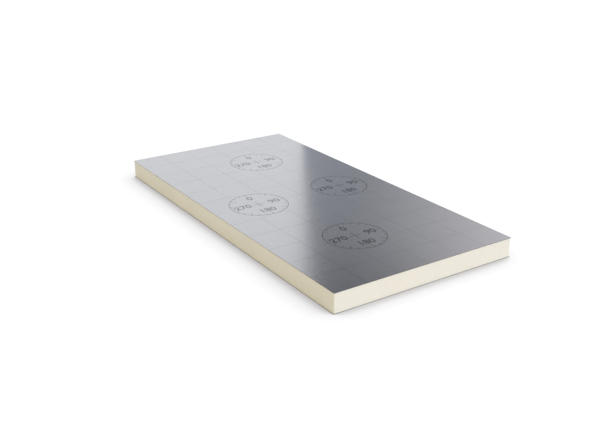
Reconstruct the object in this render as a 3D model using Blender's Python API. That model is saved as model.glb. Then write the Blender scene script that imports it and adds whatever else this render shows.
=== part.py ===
"""A polyiso insulation board: a slab of rigid foam between two thin foil facers.

Units are metres and +Z is up. The origin is at the middle of the board's underside, with X along the length
and Y along the width. The facers stand a little proud of the sawn foam on all four sides.
"""

from math import cos, pi, radians, sin

import bmesh
import bpy
from mathutils import Vector

# Driving sizes
BOARD_LENGTH = 1.200
BOARD_WIDTH = 0.600
BOARD_THICKNESS = 0.058
FACER_THICKNESS = 0.0010
FACER_OVERHANG = 0.0012  # from the foam's sawn edge out to the facer's rim
BOND_GAP = 0.0003  # clearance between a facer and the foam
CORE_CORNER_RADIUS = 0.0010  # the foam's four upright corners, eased by handling
CORE_CORNER_STEPS = 4  # facets round one of those corners

# Finishes: colour, roughness, metallic
FOIL = ((0.58, 0.60, 0.63), 0.28, 1.0)
FOAM = ((0.80, 0.76, 0.65), 0.85, 0.0)


def clear_scene():
    for item in list(bpy.data.objects):
        bpy.data.objects.remove(item, do_unlink=True)


def make_finish(name, colour, roughness, metallic):
    finish = bpy.data.materials.new(name)
    finish.use_nodes = True
    shader = finish.node_tree.nodes["Principled BSDF"]
    shader.inputs["Base Color"].default_value = (*colour, 1.0)
    shader.inputs["Roughness"].default_value = roughness
    shader.inputs["Metallic"].default_value = metallic
    finish.diffuse_color = (*colour, 1.0)
    return finish


def slab_outline(length, width, corner_radius=0.0, corner_steps=0):
    """A rectangle, anticlockwise from above. Each corner is one point, or an arc where it has steps."""
    points = []
    for turn, (side_x, side_y) in enumerate(((1, 1), (-1, 1), (-1, -1), (1, -1))):
        centre = Vector((side_x * (length / 2 - corner_radius), side_y * (width / 2 - corner_radius)))
        for step in range(corner_steps + 1):
            angle = pi / 2 * (turn + step / max(corner_steps, 1))
            points.append(centre + corner_radius * Vector((cos(angle), sin(angle))))
    return points


def make_slab(name, outline, underside, thickness, finish):
    """The outline is drawn at the slab's underside and extruded up through its thickness."""
    build = bmesh.new()
    base = build.faces.new([build.verts.new((point.x, point.y, 0.0)) for point in outline])
    extruded = bmesh.ops.extrude_face_region(build, geom=[base])["geom"]
    raised = [item for item in extruded if isinstance(item, bmesh.types.BMVert)]
    bmesh.ops.translate(build, verts=raised, vec=(0.0, 0.0, thickness))
    bmesh.ops.recalc_face_normals(build, faces=build.faces)
    mesh = bpy.data.meshes.new(name)
    build.to_mesh(mesh)
    build.free()
    mesh.materials.append(finish)
    mesh.shade_smooth()
    mesh.set_sharp_from_angle(angle=radians(30))
    slab = bpy.data.objects.new(name, mesh)
    slab.location.z = underside
    bpy.context.scene.collection.objects.link(slab)
    return slab


def make_facer(name, underside, foil):
    return make_slab(name, slab_outline(BOARD_LENGTH, BOARD_WIDTH), underside, FACER_THICKNESS, foil)


def make_core(foam):
    outline = slab_outline(
        BOARD_LENGTH - 2 * FACER_OVERHANG,
        BOARD_WIDTH - 2 * FACER_OVERHANG,
        CORE_CORNER_RADIUS,
        CORE_CORNER_STEPS,
    )
    seat = FACER_THICKNESS + BOND_GAP
    return make_slab("foam_core", outline, seat, BOARD_THICKNESS - 2 * seat, foam)


def main():
    clear_scene()
    foil = make_finish("foil_facer", *FOIL)
    foam = make_finish("rigid_foam", *FOAM)
    make_facer("bottom_facer", 0.0, foil)
    make_core(foam)
    make_facer("top_facer", BOARD_THICKNESS - FACER_THICKNESS, foil)


main()
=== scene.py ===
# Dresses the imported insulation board: grained foil facers, a printed cutting grid with four angle dials,
# sawn foam between the facers, and a white studio round it. Lengths are in metres, angles in degrees.

from math import ceil, cos, radians, sin, sqrt

import bmesh
import bpy
from mathutils import Matrix, Vector, noise


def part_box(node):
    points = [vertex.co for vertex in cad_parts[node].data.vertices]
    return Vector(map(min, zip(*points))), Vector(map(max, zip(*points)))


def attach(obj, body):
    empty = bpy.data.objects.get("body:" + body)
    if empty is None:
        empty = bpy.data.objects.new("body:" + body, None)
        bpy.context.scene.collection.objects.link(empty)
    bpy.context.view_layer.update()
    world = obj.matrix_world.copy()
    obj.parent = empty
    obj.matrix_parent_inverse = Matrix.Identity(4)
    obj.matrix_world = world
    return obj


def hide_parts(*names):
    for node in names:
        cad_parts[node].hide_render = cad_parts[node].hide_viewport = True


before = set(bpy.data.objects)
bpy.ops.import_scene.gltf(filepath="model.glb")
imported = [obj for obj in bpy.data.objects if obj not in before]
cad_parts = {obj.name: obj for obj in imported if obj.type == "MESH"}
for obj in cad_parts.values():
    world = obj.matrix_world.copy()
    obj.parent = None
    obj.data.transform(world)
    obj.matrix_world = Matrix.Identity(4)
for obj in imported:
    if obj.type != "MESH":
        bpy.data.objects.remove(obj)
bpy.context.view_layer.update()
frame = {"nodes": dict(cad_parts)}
topLow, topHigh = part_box("top_facer")
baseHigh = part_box("bottom_facer")[1]
coreLow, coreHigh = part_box("foam_core")
print("frame loaded:", ", ".join(frame["nodes"]))


# Shader helpers

white = (1.0, 1.0, 1.0, 1.0)
black = (0.0, 0.0, 0.0, 1.0)
fullSpan = (0.25, 0.75)  # holds nearly every value of a noise
midSpan = (0.3, 0.7)  # holds most of them and clips the rest
mixSockets = {"RGBA": (0, 6, 7, 2), "FLOAT": (0, 2, 3, 0)}  # a Mix node's share, two values and result


def feed(tree, socket, value):
    if isinstance(value, bpy.types.NodeSocket):
        tree.links.new(value, socket)
    else:
        socket.default_value = value


def addNode(tree, kind, feeds=None, **settings):
    # feeds holds a plain value or another node's output for each socket that it names
    node = tree.nodes.new("ShaderNode" + kind)
    for name, value in settings.items():
        setattr(node, name, value)
    for name, value in (feeds or {}).items():
        feed(tree, node.inputs[name], value)
    return node


def mathNode(tree, operation, first, second=0.0):
    node = addNode(tree, "Math", operation=operation)
    feed(tree, node.inputs[0], first)
    feed(tree, node.inputs[1], second)
    return node.outputs[0]


def slope(tree, value, start, end, low=0.0, high=1.0, curve="LINEAR"):
    # low before start, high after end
    feeds = {"Value": value, "From Min": start, "From Max": end, "To Min": low, "To Max": high}
    return addNode(tree, "MapRange", feeds, interpolation_type=curve).outputs["Result"]


def blended(tree, share, first, second, kind="RGBA"):
    # first where the share is 0, second where it is 1
    shareAt, firstAt, secondAt, resultAt = mixSockets[kind]
    node = addNode(tree, "Mix", data_type=kind)
    feed(tree, node.inputs[shareAt], share)
    feed(tree, node.inputs[firstAt], first)
    feed(tree, node.inputs[secondAt], second)
    return node.outputs[resultAt]


def along(tree, direction, axis):
    node = addNode(tree, "VectorMath", operation="DOT_PRODUCT")
    feed(tree, node.inputs[0], direction)
    feed(tree, node.inputs[1], axis)
    return node.outputs["Value"]


def grained(tree, place, perMetre, detail=2.0, stretch=(1.0, 1.0, 1.0)):
    # noise from 0 to 1, with this many features to the metre
    scaled = addNode(tree, "Mapping", {"Vector": place, "Scale": stretch}).outputs["Vector"]
    feeds = {"Vector": scaled, "Scale": perMetre, "Detail": detail}
    return addNode(tree, "TexNoise", feeds).outputs["Fac"]


def mottled(tree, colour, *patterns):
    # each pattern comes with its span and its contrast, and brightens and darkens the colour that much
    tone = 1.0
    for pattern, span, contrast in patterns:
        swing = slope(tree, pattern, *span, 1.0 - contrast, 1.0 + contrast)
        tone = mathNode(tree, "MULTIPLY", tone, swing)
    toned = addNode(tree, "VectorMath", operation="SCALE")
    feed(tree, toned.inputs[0], colour)
    feed(tree, toned.inputs["Scale"], tone)
    return toned.outputs[0]


def engrave(tree, shader, pattern, depth, strength=1.0):
    relief = addNode(tree, "Bump", {"Height": pattern, "Strength": strength, "Distance": depth})
    feed(tree, shader.inputs["Normal"], relief.outputs["Normal"])


def setStops(ramp, stops):
    # each stop is its place and its colour, from the lowest place up
    elements = ramp.color_ramp.elements
    while len(elements) < len(stops):
        elements.new(1.0)
    for element, (place, colour) in zip(elements, stops):
        element.position = place
        element.color = colour


def newMaterial(name):
    material = bpy.data.materials.new(name)
    material.use_nodes = True
    tree = material.node_tree
    return material, tree, tree.nodes["Principled BSDF"]


def opaque(colour, level=1.0):
    return (*(channel * level for channel in colour), 1.0)


# Mesh helpers

fullTurn = 360
quarterTurn = 90.0


def heading(turn):
    # anticlockwise from +X, as seen from above
    return Vector((cos(radians(turn)), sin(radians(turn))))


def joinRows(build, row, nextRow):
    # faces all round, between two closed rows of as many points
    for index in range(len(row)):
        following = (index + 1) % len(row)
        build.faces.new((row[index], row[following], nextRow[following], nextRow[index]))


def meshFrom(name, build, material):
    mesh = bpy.data.meshes.new(name)
    build.to_mesh(mesh)
    build.free()
    mesh.materials.append(material)
    return mesh


def evaluatedMesh(source):
    # the mesh that a text or a modifier makes
    bpy.context.view_layer.update()
    return bpy.data.meshes.new_from_object(source.evaluated_get(bpy.context.evaluated_depsgraph_get()))


def addObject(name, content):
    added = bpy.data.objects.new(name, content)
    bpy.context.scene.collection.objects.link(added)
    return added


# The facers

foil = {
    "colour": (0.541, 0.551, 0.580),
    "roughness": 0.212,
    "roughnessSwing": 0.07,  # share of the roughness that the grain adds or takes
    "metallic": 0.88,  # the lacquer over the metal scatters the rest
    "metallicSwing": 0.05,
    "grainPerMetre": 240.0,  # speckle of the rolled skin
    "grainContrast": 0.015,
    "dimplePerMetre": 160.0,  # the paper's texture under it
    "dimpleDepth": 0.00009,
    "fineDetail": 3.0,  # layers of ever finer features in the grain and the dimples
    "rollPerMetre": 600.0,  # faint lines along the board, from the rolling mill
    "rollStretch": (0.02, 1.0, 1.0),
    "rollContrast": 0.008,
    "cloudPerMetre": 9.0,  # slow drift of the sheen
    "cloudContrast": 0.012,
    "rimColoursAndPaintedShading": {  # the cut edges, where the paper backing shows; they differ only with the light: the upper one darkened as painted shade along the top edge, the lower one paled as painted light over the shade at the board's foot
        "top_facer": (0.10, 0.097, 0.092),
        "bottom_facer": (0.30, 0.288, 0.265),
    },
    "rimUpright": 0.5,  # a face that looks less up or down than this is part of a rim
    "rimRoughness": 0.55,
}


def makeFoil(name, rimColourAndPaintedShading):
    material, tree, shader = newMaterial(name)
    coords = addNode(tree, "TexCoord").outputs
    place = coords["Object"]
    grain = grained(tree, place, foil["grainPerMetre"], foil["fineDetail"])
    dimple = grained(tree, place, foil["dimplePerMetre"], foil["fineDetail"])
    roll = grained(tree, place, foil["rollPerMetre"], stretch=foil["rollStretch"])
    cloud = grained(tree, place, foil["cloudPerMetre"])
    upward = addNode(tree, "SeparateXYZ", {"Vector": coords["Normal"]}).outputs["Z"]
    rim = mathNode(tree, "LESS_THAN", mathNode(tree, "ABSOLUTE", upward), foil["rimUpright"])

    face = mottled(
        tree,
        foil["colour"],
        (grain, fullSpan, foil["grainContrast"]),
        (roll, fullSpan, foil["rollContrast"]),
        (cloud, fullSpan, foil["cloudContrast"]),
    )
    # the rim takes its colour, with the painted shade of the top edge and the painted light of the foot
    feed(tree, shader.inputs["Base Color"], blended(tree, rim, face, opaque(rimColourAndPaintedShading)))

    metallic, swing = foil["metallic"], foil["metallicSwing"]
    bare = slope(tree, grain, *fullSpan, metallic + swing, metallic - swing)
    facing = mathNode(tree, "SUBTRACT", 1.0, rim)
    feed(tree, shader.inputs["Metallic"], mathNode(tree, "MULTIPLY", bare, facing))

    roughness, swing = foil["roughness"], foil["roughness"] * foil["roughnessSwing"]
    satin = slope(tree, grain, *fullSpan, roughness - swing, roughness + swing)
    feed(tree, shader.inputs["Roughness"], blended(tree, rim, satin, foil["rimRoughness"], "FLOAT"))
    engrave(tree, shader, dimple, foil["dimpleDepth"])
    return material


def dressFacers():
    for name, rimColourAndPaintedShading in foil["rimColoursAndPaintedShading"].items():
        facer = frame["nodes"][name]
        facer.data.materials.clear()
        facer.data.materials.append(makeFoil(name + "_foil", rimColourAndPaintedShading))
    print("facers dressed")


# The foam between them

foam = {
    "colours": ((0.796, 0.756, 0.622), (0.804, 0.748, 0.614)),  # the cream drifts between these
    "paintedLightColour": (0.84, 0.788, 0.648),  # foam close to a facer, paler as painted light that lifts the shade under the facers and at the board's foot
    "paintedLightDepth": 0.0025,
    "meshPitch": 0.003,
    "cornerRadius": 0.0025,
    "cornerSteps": 5,
    "creaseAngle": 40.0,  # sharper edges than this aren't shaded smooth
    "bondLine": 0.00003,
    "arris": 0.0003,  # crumbled edge beside a facer
    "swayDepth": 0.00025,  # slow wander of the saw
    "swayPerMetre": 14.0,
    "tearDepth": 0.00012,  # torn cells
    "tearPerMetre": 160.0,
    "cellPerMetre": 1600.0,
    "cellSpan": (0.1, 0.7),  # from a cell's middle to its wall
    "cellDepth": 0.00012,
    "cellRelief": 0.6,
    "cellContrast": 0.03,
    "sawPerMetre": 420.0,
    "sawStretch": (1.0, 1.0, 0.04),  # the marks run up the edge
    "sawContrast": 0.012,
    "driftPerMetre": 5.0,
    "driftDetail": 1.0,
    "patchPerMetre": 11.0,
    "patchContrast": 0.012,
    "roughness": 0.92,
}


def coreOutline():
    # points round the core with the way each one faces, anticlockwise from above
    radius = foam["cornerRadius"]
    steps = foam["cornerSteps"]
    halfX = (coreHigh.x - coreLow.x) / 2 - radius
    halfY = (coreHigh.y - coreLow.y) / 2 - radius
    corners = [Vector((x * halfX, y * halfY)) for x, y in ((1, 1), (-1, 1), (-1, -1), (1, -1))]
    outline = []
    for turn, corner in enumerate(corners):
        for step in range(steps + 1):
            facing = heading(quarterTurn * (turn + step / steps))
            outline.append((corner + radius * facing, facing))
        start, facing = outline[-1]
        end = corners[(turn + 1) % len(corners)] + radius * facing
        count = ceil((end - start).length / foam["meshPitch"])
        outline += [(start.lerp(end, step / count), facing) for step in range(1, count)]
    return outline


def wander(place, perMetre):
    # smooth noise from 0 to 1
    return 0.5 + 0.5 * noise.noise(place * perMetre)


def sawnDepth(point, height):
    # how far the saw has taken the foam back at one point
    place = Vector((point.x, point.y, height))
    sway = foam["swayDepth"] * wander(place, foam["swayPerMetre"])
    tear = foam["tearDepth"] * wander(place, foam["tearPerMetre"])
    return sway + tear


def makeFoam():
    material, tree, shader = newMaterial("rigid_foam")
    place = addNode(tree, "TexCoord").outputs["Object"]
    height = addNode(tree, "SeparateXYZ", {"Vector": place}).outputs["Z"]
    feeds = {"Vector": place, "Scale": foam["cellPerMetre"]}
    cells = addNode(tree, "TexVoronoi", feeds).outputs["Distance"]
    saw = grained(tree, place, foam["sawPerMetre"], stretch=foam["sawStretch"])
    patch = grained(tree, place, foam["patchPerMetre"])
    drift = slope(tree, grained(tree, place, foam["driftPerMetre"], foam["driftDetail"]), *midSpan)
    # painted light: the foam pales towards each facer, against the shade that falls there
    fromBase = slope(tree, height, baseHigh.z, baseHigh.z + foam["paintedLightDepth"], 1.0, 0.0, "SMOOTHSTEP")
    fromTop = slope(tree, height, topLow.z - foam["paintedLightDepth"], topLow.z, 0.0, 1.0, "SMOOTHSTEP")
    paintedLightBand = mathNode(tree, "MAXIMUM", fromBase, fromTop)

    cream = blended(tree, drift, *(opaque(colour) for colour in foam["colours"]))
    cream = blended(tree, paintedLightBand, cream, opaque(foam["paintedLightColour"]))
    cream = mottled(
        tree,
        cream,
        (cells, foam["cellSpan"], foam["cellContrast"]),
        (saw, fullSpan, foam["sawContrast"]),
        (patch, midSpan, foam["patchContrast"]),
    )
    feed(tree, shader.inputs["Base Color"], cream)
    shader.inputs["Roughness"].default_value = foam["roughness"]
    engrave(tree, shader, cells, foam["cellDepth"], foam["cellRelief"])
    return material


def buildFoam():
    outline = coreOutline()
    bottom = baseHigh.z + foam["bondLine"]
    top = topLow.z - foam["bondLine"]
    count = ceil((top - bottom) / foam["meshPitch"])
    arris = foam["arris"]
    inner = [bottom + arris + (top - bottom - 2 * arris) * step / count for step in range(count + 1)]
    build = bmesh.new()
    rows = []
    for height in [bottom, *inner, top]:
        torn = arris if height in (bottom, top) else 0.0
        row = []
        for point, facing in outline:
            spot = point - facing * (torn + sawnDepth(point, height))
            row.append(build.verts.new((spot.x, spot.y, height)))
        rows.append(row)
    for row, nextRow in zip(rows, rows[1:]):
        joinRows(build, row, nextRow)
    build.faces.new(rows[0][::-1])
    build.faces.new(rows[-1])
    mesh = meshFrom("sawn_foam_core", build, makeFoam())
    mesh.shade_smooth()
    mesh.set_sharp_from_angle(angle=radians(foam["creaseAngle"]))
    core = addObject("sawn_foam_core", mesh)
    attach(core, "root")
    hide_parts("foam_core")
    print("foam built:", len(mesh.polygons), "faces")


# The print on the top facer

gridPrint = {
    "pitch": 0.1,
    "lineWidth": 0.00115,
    "endMargin": 0.0002,
    "colour": (0.385, 0.395, 0.41),
}
dialPrint = {
    "places": ((0.35, -0.05), (0.0, -0.15), (0.0, 0.15), (-0.35, 0.05)),
    "clearing": 0.106,  # the grid stops this far from a dial's middle
    "radius": 0.090,
    "lineWidth": 0.0022,
    "ringSteps": 96,
    "tickEvery": 15,
    "tick": 0.007,
    "longEvery": 45,
    "longTick": 0.015,
    "tickGap": 0.0004,
    "numerals": (0, 90, 180, 270),  # each one is written at its own turn
    "numeralHeight": 0.026,
    "numeralRadius": 0.054,
    "numeralWeight": 0.0008,  # ink added round each numeral's outline
    "numeralSteps": 4,  # straight pieces in each curve of a numeral
    "figureShare": 0.7,  # share of the font's size that a figure stands tall
    "hubRadius": 0.004,
    "hubSteps": 24,
    "armEvery": 90,
    "arms": (0.008, 0.020),  # from and to, out from the middle
    "readsFrom": 90,  # turn of the numerals about the board's +Z
    "colour": (0.24, 0.245, 0.255),
}
ink = {
    "raised": 0.00004,  # film above the foil
    "sunk": 0.00004,  # and its root below, so that the two meet
    "mergeWithin": 0.000001,
    "roughness": 0.2,
    "speckPerMetre": 1100.0,
    "speckContrast": 0.10,
}
inkLow = topHigh.z - ink["sunk"]
inkHigh = topHigh.z + ink["raised"]


def makeInk(name, colour):
    # the ink is thin, so the foil's metal sheen comes through it
    material, tree, shader = newMaterial(name)
    speck = grained(tree, addNode(tree, "TexCoord").outputs["Object"], ink["speckPerMetre"])
    speckled = mottled(tree, colour, (speck, midSpan, ink["speckContrast"]))
    feed(tree, shader.inputs["Base Color"], speckled)
    shader.inputs["Metallic"].default_value = 1.0
    shader.inputs["Roughness"].default_value = ink["roughness"]
    return material


def addPrism(build, outline):
    # a flat patch of ink with this outline, anticlockwise from above
    lower = [build.verts.new((point.x, point.y, inkLow)) for point in outline]
    upper = [build.verts.new((point.x, point.y, inkHigh)) for point in outline]
    build.faces.new(lower[::-1])
    build.faces.new(upper)
    joinRows(build, lower, upper)


def addStrip(build, start, end, width):
    side = (end - start).normalized().orthogonal() * width / 2
    addPrism(build, [start - side, start + side, end + side, end - side][::-1])


def addRing(build, radius, width, steps):
    inner, outer = radius - width / 2, radius + width / 2
    turns = [radians(fullTurn * step / steps) for step in range(steps)]
    rings = []
    for reach, height in ((inner, inkLow), (outer, inkLow), (outer, inkHigh), (inner, inkHigh)):
        rings.append([build.verts.new((reach * cos(turn), reach * sin(turn), height)) for turn in turns])
    for ring, nextRing in zip(rings, rings[1:] + rings[:1]):
        joinRows(build, ring, nextRing)


def addNumeral(build, words, place):
    curve = bpy.data.curves.new("numeral", "FONT")
    curve.body = words
    curve.align_x = "CENTER"
    curve.align_y = "CENTER"
    curve.size = dialPrint["numeralHeight"] / dialPrint["figureShare"]
    curve.offset = dialPrint["numeralWeight"]
    curve.resolution_u = dialPrint["numeralSteps"]
    curve.extrude = (inkHigh - inkLow) / 2
    text = addObject("numeral", curve)
    mesh = evaluatedMesh(text)
    mesh.transform(Matrix.Translation((place.x, place.y, (inkLow + inkHigh) / 2)))
    build.from_mesh(mesh)
    bpy.data.meshes.remove(mesh)
    bpy.data.objects.remove(text)
    bpy.data.curves.remove(curve)


def printedMesh(name, build, material):
    bmesh.ops.remove_doubles(build, verts=build.verts, dist=ink["mergeWithin"])
    bmesh.ops.recalc_face_normals(build, faces=build.faces)
    return meshFrom(name, build, material)


def openRuns(halfLength, offset, centres):
    # the stretches of a grid line that no dial's clearing covers
    gaps = []
    for middle, across in centres:
        reach = dialPrint["clearing"] ** 2 - (across - offset) ** 2
        if reach > 0:
            gaps.append((middle - sqrt(reach), middle + sqrt(reach)))
    start = -halfLength
    for low, high in sorted(gaps):
        if low > start:
            yield start, low
        start = max(start, high)
    if start < halfLength:
        yield start, halfLength


def gridLines(halfLength, halfWidth, centres, point):
    # lines that run one way, with point turning (along, across) into a place on the board
    build = bmesh.new()
    count = round(halfWidth / gridPrint["pitch"])
    for step in range(1 - count, count):
        offset = step * gridPrint["pitch"]
        for start, end in openRuns(halfLength - gridPrint["endMargin"], offset, centres):
            addStrip(build, point(start, offset), point(end, offset), gridPrint["lineWidth"])
    return build


def printGrid():
    material = makeInk("grid_ink", gridPrint["colour"])
    halfX, halfY = topHigh.x, topHigh.y
    places = dialPrint["places"]
    lengthwise = gridLines(halfX, halfY, places, lambda run, across: Vector((run, across)))
    turned = [(y, x) for x, y in places]
    crosswise = gridLines(halfY, halfX, turned, lambda run, across: Vector((across, run)))
    grid = addObject("cutting_grid", printedMesh("cutting_grid", lengthwise, material))
    crossing = addObject("crossing_lines", printedMesh("crossing_lines", crosswise, material))
    joined = grid.modifiers.new("join", "BOOLEAN")
    joined.operation = "UNION"
    joined.object = crossing
    mesh = evaluatedMesh(grid)
    grid.modifiers.clear()
    grid.data = mesh
    bpy.data.objects.remove(crossing)
    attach(grid, "root")
    print("grid printed")


def drawDial():
    # one dial about its own middle: a ring with ticks, a hub with arms, and the numerals
    build = bmesh.new()
    radius, width = dialPrint["radius"], dialPrint["lineWidth"]
    addRing(build, radius, width, dialPrint["ringSteps"])
    tickEnd = radius - width / 2 - dialPrint["tickGap"]
    for turn in range(0, fullTurn, dialPrint["tickEvery"]):
        length = dialPrint["longTick"] if turn % dialPrint["longEvery"] == 0 else dialPrint["tick"]
        addStrip(build, heading(turn) * (tickEnd - length), heading(turn) * tickEnd, width)
    addRing(build, dialPrint["hubRadius"], width, dialPrint["hubSteps"])
    armStart, armEnd = dialPrint["arms"]
    for turn in range(0, fullTurn, dialPrint["armEvery"]):
        addStrip(build, heading(turn) * armStart, heading(turn) * armEnd, width)
    for turn in dialPrint["numerals"]:
        place = dialPrint["numeralRadius"] * Vector((sin(radians(turn)), cos(radians(turn))))
        addNumeral(build, str(turn), place)
    reading = Matrix.Rotation(radians(dialPrint["readsFrom"]), 3, "Z")
    bmesh.ops.rotate(build, verts=build.verts, cent=(0.0, 0.0, 0.0), matrix=reading)
    return build


def printDials():
    mesh = printedMesh("angle_dial", drawDial(), makeInk("dial_ink", dialPrint["colour"]))
    for number, (x, y) in enumerate(dialPrint["places"], start=1):
        dialObject = addObject("angle_dial_" + str(number), mesh)
        dialObject.location = (x, y, 0.0)
        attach(dialObject, "root")
    print("dials printed:", len(dialPrint["places"]))


# The studio

camera = {
    "lens": 50.0,  # millimetres
    "azimuth": 56.502,  # 0 looks along +Y and 90 along -X
    "elevation": 21.908,
    "place": (2.0309, -1.3441),
    "overBoard": 0.9207,  # above the top facer
    "clip": (0.05, 100.0),
}
studio = {
    "floorReach": 60.0,
    "floorColour": (0.86, 0.86, 0.86),
    "floorSeen": (0.36, 0.34, 0.26),  # what the light adds to the floor's look, and the rest is a glow
    "shadeReach": 0.09,  # how far out the board darkens that glow, as painted shadow
    "shadeSamples": 16,
    "glowTint": (0.985, 1.015, 1.04),
    "glowLift": (0.0, 0.0, 0.065),  # a little blue, which the deepest shade keeps
    "shade": (  # openness of a place on the floor, and its glow there; the dimmer glow near the board is a painted shadow
        (0.55, 0.28),
        (0.65, 0.46),
        (0.75, 0.575),
        (0.85, 0.63),
        (1.0, 0.685),
    ),
    "keyTurn": -42.1,  # compass turn of the brighter side, as the camera's azimuth
    "keyColour": (1.52, 1.59, 1.84),
    "fillColour": (0.48, 0.41, 0.20),
}
card = {
    "distance": 3.5,  # from the camera over the ground
    "turn": 56.44,  # compass turn of its right edge from the camera
    "lean": 0.04,  # how far that edge leans to the right for each metre up
    "width": 4.0,
    "height": 1.1,
    "glow": 0.985,
}
room = {
    "turn": 56.5,  # compass turn that the room's other turns start from, to the right
    "whiteBefore": (-75.0, -65.0),  # the walls turn from white to the gap over these turns
    "whiteAfter": (32.0, 50.0),  # and back to white over these
    "darkUpTo": 45.0,  # degrees up
    "whiteAbove": 60.0,
    # at each turn, the level at the floor, a pale band's peak, how high that is, where it ends, and a tint
    "parts": (
        {"turn": 1.5, "foot": 0.54, "peak": 0.395, "peakAt": 19.0, "top": 28.5, "tint": (0.96, 1.0, 1.14)},
        {"turn": 4.5, "foot": 0.0, "peak": 0.405, "peakAt": 24.0, "top": 25.5, "tint": (0.97, 1.0, 1.12)},
        {"turn": 9.0, "foot": 0.0, "peak": 0.67, "peakAt": 23.5, "top": 28.5, "tint": (1.0, 1.0, 1.01)},
        {"turn": 16.0, "foot": 0.1, "peak": 1.0, "peakAt": 23.5, "top": 40.0, "tint": (1.04, 1.0, 1.01)},
    ),
}


def compass(turn):
    # anticlockwise from +Y, as the camera's azimuth
    return Vector((-sin(radians(turn)), cos(radians(turn)), 0.0))


def placeCamera():
    lens = bpy.data.cameras.new("camera")
    lens.lens = camera["lens"]
    lens.clip_start, lens.clip_end = camera["clip"]
    eye = addObject("camera", lens)
    eye.location = (*camera["place"], topHigh.z + camera["overBoard"])
    eye.rotation_euler = (radians(quarterTurn - camera["elevation"]), 0.0, radians(camera["azimuth"]))
    bpy.context.scene.camera = eye
    print("camera placed")


def layFloor():
    material, tree, shader = newMaterial("white_floor")
    shader.inputs["Roughness"].default_value = 1.0
    shader.inputs["Specular IOR Level"].default_value = 0.0
    rays = addNode(tree, "LightPath").outputs
    seen = mathNode(tree, "MAXIMUM", rays["Is Camera Ray"], rays["Is Glossy Ray"])
    colour = blended(tree, seen, opaque(studio["floorColour"]), opaque(studio["floorSeen"]))
    feed(tree, shader.inputs["Base Color"], colour)
    feeds = {"Distance": studio["shadeReach"]}
    # painted shadow: the floor's glow darkens where the board closes the floor in, over the real shade of
    # its lit part
    openness = addNode(tree, "AmbientOcclusion", feeds, samples=studio["shadeSamples"]).outputs["AO"]
    ramp = addNode(tree, "ValToRGB", {"Fac": openness})
    tint, lift = Vector(studio["glowTint"]), Vector(studio["glowLift"])
    setStops(ramp, [(place, opaque(glow * tint + lift)) for place, glow in studio["shade"]])
    feed(tree, shader.inputs["Emission Color"], ramp.outputs["Color"])
    feed(tree, shader.inputs["Emission Strength"], seen)

    reach = studio["floorReach"]
    build = bmesh.new()
    corners = [(-reach, -reach, 0.0), (reach, -reach, 0.0), (reach, reach, 0.0), (-reach, reach, 0.0)]
    build.faces.new([build.verts.new(corner) for corner in corners])
    floor = addObject("floor", meshFrom("floor", build, material))
    print("floor laid")


def lightStudio():
    world = bpy.data.worlds.new("white_studio")
    bpy.context.scene.world = world
    world.use_nodes = True
    tree = world.node_tree
    direction = addNode(tree, "TexCoord").outputs["Generated"]
    rays = addNode(tree, "LightPath").outputs
    towardsKey = along(tree, direction, compass(studio["keyTurn"]))
    share = slope(tree, towardsKey, -1.0, 1.0)
    dome = blended(tree, share, opaque(studio["fillColour"]), opaque(studio["keyColour"]))
    lit = blended(tree, rays["Is Glossy Ray"], dome, reflectedRoom(tree, direction))
    seen = blended(tree, rays["Is Camera Ray"], lit, white)
    feed(tree, tree.nodes["Background"].inputs["Color"], seen)
    print("studio lit")


def heightRamp(tree, height, part):
    # one part of the room, from the floor up
    ramp = addNode(tree, "ValToRGB", {"Fac": slope(tree, height, 0.0, quarterTurn)})
    stops = (
        (0.0, opaque(part["tint"], part["foot"])),
        (part["peakAt"], opaque(part["tint"], part["peak"])),
        (part["top"], black),
        (room["darkUpTo"], black),
        (room["whiteAbove"], white),
    )
    setStops(ramp, [(up / quarterTurn, colour) for up, colour in stops])
    return ramp.outputs["Color"]


def reflectedRoom(tree, direction):
    # what only the foil sees: a white room with one darker gap, which starts beside the card
    ahead = along(tree, direction, compass(room["turn"]))
    aside = along(tree, direction, compass(room["turn"] - quarterTurn))
    turn = mathNode(tree, "DEGREES", mathNode(tree, "ARCTAN2", aside, ahead))
    upward = addNode(tree, "SeparateXYZ", {"Vector": direction}).outputs["Z"]
    height = mathNode(tree, "DEGREES", mathNode(tree, "ARCSINE", upward))
    parts = room["parts"]
    gap = heightRamp(tree, height, parts[0])
    for part, nextPart in zip(parts, parts[1:]):
        share = slope(tree, turn, part["turn"], nextPart["turn"])
        gap = blended(tree, share, gap, heightRamp(tree, height, nextPart))
    gap = blended(tree, slope(tree, turn, *room["whiteBefore"]), white, gap)
    return blended(tree, slope(tree, turn, *room["whiteAfter"]), gap, white)


def standCard():
    # a white card behind the board, which only the foil reflects
    material, _, shader = newMaterial("white_card")
    shader.inputs["Base Color"].default_value = black
    shader.inputs["Specular IOR Level"].default_value = 0.0
    shader.inputs["Emission Color"].default_value = white
    shader.inputs["Emission Strength"].default_value = card["glow"]

    leftward = compass(card["turn"] + quarterTurn)
    foot = Vector((*camera["place"], 0.0)) + card["distance"] * compass(card["turn"])
    far = foot + card["width"] * leftward
    rise = Vector((0.0, 0.0, card["height"]))
    leant = rise - card["lean"] * card["height"] * leftward
    build = bmesh.new()
    build.faces.new([build.verts.new(corner) for corner in (foot, far, far + rise, foot + leant)])
    standing = addObject("white_card", meshFrom("white_card", build, material))
    standing.visible_camera = False
    standing.visible_diffuse = False
    standing.visible_shadow = False
    print("card stood up")


placeCamera()
dressFacers()
buildFoam()
printGrid()
printDials()
layFloor()
standCard()
lightStudio()
bpy.context.scene.view_settings.view_transform = "Standard"
